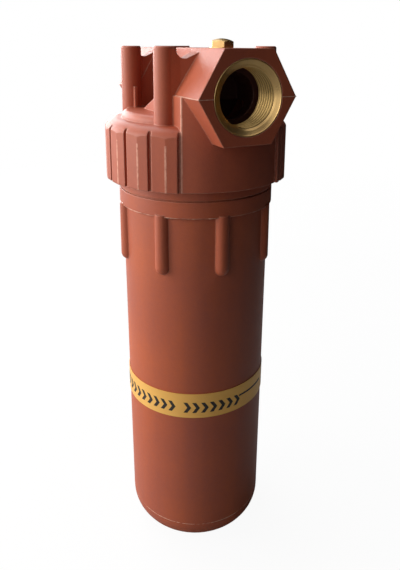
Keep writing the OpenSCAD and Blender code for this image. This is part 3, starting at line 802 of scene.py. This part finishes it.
def turned_brass(name, centre, across, crest, root):
    """Brass turned about an axis through a centre. Lathe rings are noise on (radius,
    place along the axis), where `across` names the two axes square to it. Between the
    crest and root radii the metal is painted from bright to dark: partly rubbed wear and
    grime, partly a painted highlight on the crests and painted shade in the roots."""
    material, tree, shader = new_material(name, Metallic=1.0)
    edges = group_in(tree, soft, Radius=0.25 * MM)
    surface = group_in(tree, skin, Cloud_Scale=90.0, Grain_Scale=2500.0)
    axes = object_axes(tree, centre)
    radius = length_of(tree, axes[across[0]], axes[across[1]])
    axis = axes[next(a for a in "XYZ" if a not in across)]
    lathe = node_of(tree, "ShaderNodeCombineXYZ")
    tree.links.new(radius, lathe.inputs["X"])
    tree.links.new(axis, lathe.inputs["Y"])
    rings = noise_value(tree, lathe.outputs[0], LATHE_SCALE, 2)
    metal = blend(tree, surface.outputs["Clouds"], BRASS_DARK, BRASS_LIGHT)
    metal = blend(tree, edges.outputs["Edge"], metal, BRASS_RUBBED_AND_HIGHLIGHT)
    depth = maths(tree, "DIVIDE", maths(tree, "SUBTRACT", radius, crest), root - crest, clamp=True)
    depth = maths(tree, "POWER", depth, GRIME_AND_SHADE_POWER)
    inside = maths(tree, "LESS_THAN", radius, root + TINY)
    behind_cone = maths(tree, "LESS_THAN", maths(tree, "ABSOLUTE", axis), PORT_FACE - CONE_TO)
    inside = maths(tree, "MULTIPLY", inside, behind_cone)
    # Darker towards the thread's roots, as grime and painted shade; the crests are painted bright, as
    # wear and a painted highlight.
    grime_and_shade = maths(tree, "MULTIPLY", depth, inside)
    crest_wear_and_highlight = blend(tree, inside, metal, BRASS_RUBBED_AND_HIGHLIGHT)
    tree.links.new(blend(tree, grime_and_shade, crest_wear_and_highlight, BRASS_GRIME_AND_SHADE), shader.inputs["Base Color"])
    tree.links.new(between(tree, surface.outputs["Clouds"], 0.42, 0.2), shader.inputs["Roughness"])
    bump_on(tree, shader, rings, distance=0.05 * MM, strength=0.4, normal=edges.outputs["Normal"])
    return material


port_brass = turned_brass("port_brass", (0, 0, PORT_Z), "XZ", PIPE_CREST_R, PIPE_ROOT_R)
vent_low, vent_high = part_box("vent_screw")
vent_middle = ((vent_low.x + vent_high.x) / 2, (vent_low.y + vent_high.y) / 2, 0)
vent_brass = turned_brass("vent_brass", vent_middle, "XY", 0.0, TINY)
print("brass:", port_brass.name, "and", vent_brass.name)

# %% [markdown]
# The label is a printed film: an even warm yellow with a satin, faintly metallic
# face. Rubber is nearly black and dull. The cartridge's screen is woven steel,
# drawn as two crossed waves, one round the axis and one along it.

# %% Label film, ink, rubber and woven screen
PLAIN_SWING = 0.07


def plain_finish(name, first, second, rough, cloud, depth, **constants):
    """Two shades in clouds with a fine grain: printed film, ink or rubber."""
    material, tree, shader = new_material(name, **constants)
    surface = group_in(tree, skin, Cloud_Scale=cloud, Grain_Scale=1800.0)
    tree.links.new(blend(tree, surface.outputs["Clouds"], first, second), shader.inputs["Base Color"])
    dull = between(tree, surface.outputs["Clouds"], rough - PLAIN_SWING, rough + PLAIN_SWING)
    tree.links.new(dull, shader.inputs["Roughness"])
    bump_on(tree, shader, surface.outputs["Grain"], distance=depth, strength=0.3)
    return material


label_film = plain_finish("label_film", (0.96, 0.50, 0.11), (0.98, 0.57, 0.15),
                          rough=0.36, cloud=30.0, depth=0.04 * MM, Metallic=0.3)
label_ink = plain_finish("label_ink", (0.012, 0.009, 0.008), (0.03, 0.022, 0.018),
                         rough=0.5, cloud=60.0, depth=0.03 * MM)
seal_rubber = plain_finish("seal_rubber", (0.012, 0.012, 0.012), (0.028, 0.028, 0.028),
                           rough=0.6, cloud=80.0, depth=0.08 * MM)
SCREEN_R = 20 * MM
STEEL_DARK, STEEL_LIGHT = (0.22, 0.22, 0.23), (0.66, 0.66, 0.68)


def woven_screen(name, wires):
    """Woven steel: sin(wires * angle) * sin(wires * height / radius). At that radius both
    waves are equally long."""
    material, tree, shader = new_material(name, Metallic=1.0)
    x, y, z = object_axes(tree)
    warp = maths(tree, "SINE", maths(tree, "MULTIPLY", maths(tree, "ARCTAN2", y, x), wires))
    weft = maths(tree, "SINE", maths(tree, "MULTIPLY", z, wires / SCREEN_R))
    weave = maths(tree, "MULTIPLY", maths(tree, "ADD", maths(tree, "MULTIPLY", warp, weft), 1.0), 0.5)
    tree.links.new(blend(tree, weave, STEEL_DARK, STEEL_LIGHT), shader.inputs["Base Color"])
    tree.links.new(between(tree, weave, 0.5, 0.3), shader.inputs["Roughness"])
    bump_on(tree, shader, weave, distance=0.2 * MM, strength=0.5)
    return material


screen_steel = woven_screen("screen_steel", wires=160.0)

# %% Hand out the finishes
FINISH = {
    "head": head_plastic, "bowl": bowl_plastic, "vent_screw": vent_brass,
    "inlet_insert": port_brass, "outlet_insert": port_brass,
    "vent_seal": seal_rubber, "bowl_seal": seal_rubber, "label_band": label_film,
    "cartridge_core": white_plastic, "cartridge_guard": white_plastic,
    "cartridge_screen": screen_steel, "cartridge_top_cap": cap_plastic,
    "cartridge_bottom_cap": cap_plastic, "cartridge_top_gasket": seal_rubber,
    "cartridge_bottom_gasket": seal_rubber,
}
for name, finish in FINISH.items():
    mesh = nodes[name].data
    mesh.materials.clear()
    mesh.materials.append(finish)
for piece, finish in [
    (inlet_turned, port_brass), (outlet_turned, port_brass), (bowl_thread, bowl_plastic),
    (foot_line, flash_highlight_plastic), (collar_flash, flash_highlight_plastic),
    (arrow_heads, label_ink), (label_rule, label_ink), *[(f, flash_highlight_plastic) for f in flash_lines],
]:
    piece.data.materials.append(finish)
print("finished", len(FINISH), "nodes")

# %% [markdown]
# ## Floor, lamps and world
# The photograph has a white background and the soft light of a window on the left.
# Two lamps stand for it, a strong one square to the left and a weak one nearer the
# camera. A third stands behind the part on the left, and gives the port's upper
# flat its sheen. A weak one hangs above it. The world is white to the camera and in
# reflections, at strength 1, so that no lamp has to be turned up for it.

# %% Floor
FLOOR_R, FLOOR_RINGS, FLOOR_SPOKES = 20.0, 48, 96
radius = np.concatenate([[0], np.geomspace(0.05, FLOOR_R, FLOOR_RINGS)])[:, None]
angle = np.linspace(0, TURN, FLOOR_SPOKES, endpoint=False)
disc = np.stack([radius * np.cos(angle), radius * np.sin(angle), 0 * radius * angle - 0.1 * MM], -1)
floor = mesh_object("floor", disc, grid_faces(*disc.shape[:2]).tolist())
floor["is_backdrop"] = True
print("the floor reaches", FLOOR_R, "m")

# %% [markdown]
# To the camera the floor is nearly white, with a share of its own shaded look near
# the part, which keeps the shadow. Mirrored in brass it turns white only further
# away, and what it throws back on the part is that of a plain grey studio floor.

# %% Floor finish
SEEN_WHITE, ALL_WHITE_AT = 0.94, 1.2
MIRROR_FROM, MIRROR_TO = 0.9, 3.0
SHADED, GREY = (0.84, 0.84, 0.84), (0.28, 0.28, 0.28)
floor_white, tree, shader = new_material("floor_white", Roughness=0.7)
surface = group_in(tree, skin, Cloud_Scale=3.0, Grain_Scale=400.0)
paths = tree.nodes.new("ShaderNodeLightPath").outputs
far = node_of(tree, "ShaderNodeVectorMath", operation="LENGTH")
tree.links.new(tree.nodes.new("ShaderNodeTexCoord").outputs["Object"], far.inputs[0])
tone = blend(tree, surface.outputs["Clouds"], tuple(0.95 * c for c in SHADED), SHADED)
tree.links.new(blend(tree, paths["Is Camera Ray"], GREY, tone), shader.inputs["Base Color"])
bump_on(tree, shader, surface.outputs["Grain"], distance=0.2 * MM, strength=0.2)
seen = between(tree, maths(tree, "DIVIDE", far.outputs["Value"], ALL_WHITE_AT), SEEN_WHITE, 1.0)
seen = maths(tree, "MULTIPLY", maths(tree, "MINIMUM", seen, 1.0), paths["Is Camera Ray"])
mirrored = maths(tree, "SUBTRACT", far.outputs["Value"], MIRROR_FROM)
mirrored = maths(tree, "DIVIDE", mirrored, MIRROR_TO - MIRROR_FROM, clamp=True)
mirror_rays = maths(tree, "MAXIMUM", paths["Is Glossy Ray"], paths["Is Transmission Ray"])
mirrored = maths(tree, "MULTIPLY", mirrored, mirror_rays)
white = node_of(tree, "ShaderNodeEmission", Color=(1, 1, 1, 1), Strength=1.0)
mix = tree.nodes.new("ShaderNodeMixShader")
tree.links.new(maths(tree, "MAXIMUM", seen, mirrored), mix.inputs[0])
tree.links.new(shader.outputs[0], mix.inputs[1])
tree.links.new(white.outputs[0], mix.inputs[2])
end = next(n for n in tree.nodes if n.type == "OUTPUT_MATERIAL")
tree.links.new(mix.outputs[0], end.inputs["Surface"])
floor.data.materials.append(floor_white)

# %% World
bpy.context.scene.view_settings.view_transform = "Standard"
AMBIENT = 0.06
world = bpy.data.worlds.new("white_room")
bpy.context.scene.world = world
world.use_nodes = True
tree = world.node_tree
background = next(n for n in tree.nodes if n.type == "BACKGROUND")
background.inputs["Color"].default_value = (1, 1, 1, 1)
paths = tree.nodes.new("ShaderNodeLightPath").outputs
seen = maths(tree, "MAXIMUM", paths["Is Camera Ray"], paths["Is Glossy Ray"])
seen = maths(tree, "MAXIMUM", seen, paths["Is Transmission Ray"])
tree.links.new(between(tree, seen, AMBIENT, 1.0), background.inputs["Strength"])
print("the world lights the part at", AMBIENT, "of white")

# %% Lamps


def soft_lamp(name, place, size, level, colour):
    """A rectangular lamp that faces the part's middle. A surface there that faces the lamp
    gets level times pi of light, so its power is level * pi squared * distance squared."""
    data = bpy.data.lights.new(name, "AREA")
    data.shape = "RECTANGLE"
    data.size, data.size_y = size
    data.color = colour
    aim = MIDDLE - place
    data.energy = level * math.pi ** 2 * aim.length_squared
    lamp = bpy.data.objects.new(name, data)
    lamp.location = place
    lamp.rotation_euler = aim.to_track_quat("-Z", "Y").to_euler()
    lamp.visible_camera = False
    bpy.context.scene.collection.objects.link(lamp)
    print(name, "power", round(data.energy, 1), "W")


MIDDLE = Vector((0, 0, 0.18))


def around(azimuth, elevation, distance):
    """A place seen from the part's middle at an azimuth and an elevation, in degrees."""
    a, e = math.radians(azimuth), math.radians(elevation)
    return MIDDLE + distance * Vector((math.cos(a) * math.cos(e), math.sin(a) * math.cos(e), math.sin(e)))


WARM, COOL = (1.0, 0.97, 0.92), (0.95, 0.98, 1.0)
soft_lamp("window", around(160, 17, 1.5), (0.8, 1.1), 0.95, WARM)
soft_lamp("window_fill", around(200, 24, 1.6), (0.9, 0.9), 0.25, WARM)
soft_lamp("back_light", around(104, 15, 1.5), (1.6, 0.6), 1.05, COOL)
soft_lamp("ceiling", around(110, 62, 1.4), (0.9, 0.9), 0.46, COOL)

# %% [markdown]
# ## Dark card
# The photograph's right side is dark, because that side of the room was. A white
# world would shine on it, so a black card out of the camera's sight stands there,
# as a photographer would place it.

# %% Dark card
CARD_R, CARD_FOOT, CARD_H = 0.55, 0.002, 1.0
CARD_FROM, CARD_TO = -107, 64
card_angle = np.radians(np.linspace(CARD_FROM, CARD_TO, 50))
card_z = np.array([CARD_FOOT, CARD_H])
card_verts = np.stack([CARD_R * np.cos(card_angle)[:, None] + 0 * card_z,
                       CARD_R * np.sin(card_angle)[:, None] + 0 * card_z,
                       0 * card_angle[:, None] + card_z], -1)
card_faces = (2 * np.arange(len(card_angle) - 1)[:, None] + np.array([0, 2, 3, 1])).tolist()
card = mesh_object("dark_card", card_verts, card_faces)
card.visible_camera = False
card.visible_shadow = False
card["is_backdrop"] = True
card_black, tree, shader = new_material("card_black", Roughness=0.9, Specular_IOR_Level=0.0)
surface = group_in(tree, skin, Cloud_Scale=10.0, Grain_Scale=300.0)
tree.links.new(blend(tree, surface.outputs["Clouds"], (0.01, 0.01, 0.01), (0.02, 0.02, 0.02)),
               shader.inputs["Base Color"])
card.data.materials.append(card_black)
print("the card stands from", CARD_FROM, "to", CARD_TO, "degrees")

# %% [markdown]
# ## Where each feature shows
# For each image point, the place where its feature shows is found from the
# vertices of the finished pieces.

# %% Helpers that find a feature
shown = {o.name: to_image(vertices_of(o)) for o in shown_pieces()}
everything = np.concatenate(list(shown.values()))
head_image = shown["head"]
BOSS_PLACE, BOSS_REACH = (-31.5 * MM, -28.5 * MM), 8 * MM
GRIP_END_Z = (collar_z0 - 40 * MM, collar_z0 - 20 * MM)
GRIP_PROUD_R, GRIP_HALF_ANGLE = neck_r - 1.2 * MM, 8
RING_RIM_R, NEAR, FACING = 52 * MM, 0.3 * MM, 0.2
TOP_SLICE = 2.0              # in pixels, how far down the vent screw's top is looked at


def corner_of_port(x, z):
    """The port face's vertex that lies furthest in a direction across the face."""
    best = np.argmax(head_verts[on_port_face] @ np.array([x, 0, z]))
    return head_image[on_port_face][best]


def edge_at(image_rows, name):
    """Where a row of image points crosses the upright line through a named point."""
    order = np.argsort(image_rows[:, 0])
    x = POINTS[name][0]
    return np.array([x, np.interp(x, image_rows[order, 0], image_rows[order, 1])])


def in_front(verts, image_rows):
    """Image points of the vertices on the camera's side."""
    to_camera = np.array(CAMERA_PLACE[:2])
    facing = verts[:, :2] @ to_camera / (np.linalg.norm(to_camera) * np.hypot(*verts[:, :2].T))
    return image_rows[facing > FACING]


def rib_end(angle):
    """The middle of a grip bar's lower end, at an angle in degrees round the bowl, from
    the bowl's vertices that stand proud."""
    turn = np.abs((np.degrees(np.arctan2(bowl_verts[:, 1], bowl_verts[:, 0])) - angle + 180) % 360 - 180)
    height = (bowl_verts[:, 2] > GRIP_END_Z[0]) & (bowl_verts[:, 2] < GRIP_END_Z[1])
    image_rows = shown["bowl"][height & (turn < GRIP_HALF_ANGLE) & (bowl_radii > GRIP_PROUD_R)]
    return np.array([image_rows[:, 0].min() + np.ptp(image_rows[:, 0]) / 2, image_rows[:, 1].max()])


# %% Where the features show
near_boss = np.linalg.norm(head_verts[:, :2] - np.array(BOSS_PLACE), axis=1) < BOSS_REACH
near_boss &= head_verts[:, 2] > head_high.z - 2.5 * MM
ring_low = (head_verts[:, 2] < head_low.z + NEAR) & (head_radii > RING_RIM_R)
band_top = outer & (band_verts[:, 2] - BAND_SLOPE * band_verts[:, 1] > BAND_Z)
band_bottom = outer & ~band_top
mouth = vertices_of(inlet_turned)
mouth_ring = np.abs(np.hypot(mouth[:, 0], mouth[:, 2] - PORT_Z) - INSERT_R) < NEAR
mouth_ring &= mouth[:, 1] < -PORT_FACE + NEAR
boss_image, band_image = head_image[near_boss], shown["label_band"]
vent_image = shown["vent_screw"]
vent_top = vent_image[:, 1].min()

found = {
    "object_left": (everything[:, 0].min(), None),
    "object_right": (everything[:, 0].max(), None),
    "object_top": (None, everything[:, 1].min()),
    "object_bottom": (None, everything[:, 1].max()),
    "port_corner_left": corner_of_port(-1, 0),
    "port_corner_top_left": corner_of_port(-0.5, 0.8),
    "port_corner_top_right": corner_of_port(0.5, 0.8),
    "port_corner_right": corner_of_port(1, 0),
    "port_corner_bottom_right": corner_of_port(0.5, -0.8),
    "port_corner_bottom_left": corner_of_port(-0.5, -0.8),
    "port_mouth_middle": shown["inlet_turned_insert"][mouth_ring].mean(0),
    "near_boss_top": (boss_image[:, 0].mean(), boss_image[:, 1].min()),
    "vent_screw_top": (vent_image[vent_image[:, 1] < vent_top + TOP_SLICE][:, 0].mean(), vent_top),
    "ring_bottom": edge_at(in_front(head_verts[ring_low], head_image[ring_low]), "ring_bottom"),
    "left_grip_end": rib_end(-140),
    "middle_grip_end": rib_end(-95),
    "band_top": edge_at(in_front(band_verts[band_top], band_image[band_top]), "band_top"),
    "band_bottom": edge_at(in_front(band_verts[band_bottom], band_image[band_bottom]), "band_bottom"),
    "foot_line": edge_at(in_front(vertices_of(foot_line), shown["foot_line"]), "foot_line"),
    "print_line_start": shown["label_rule"][:4].mean(0),
}
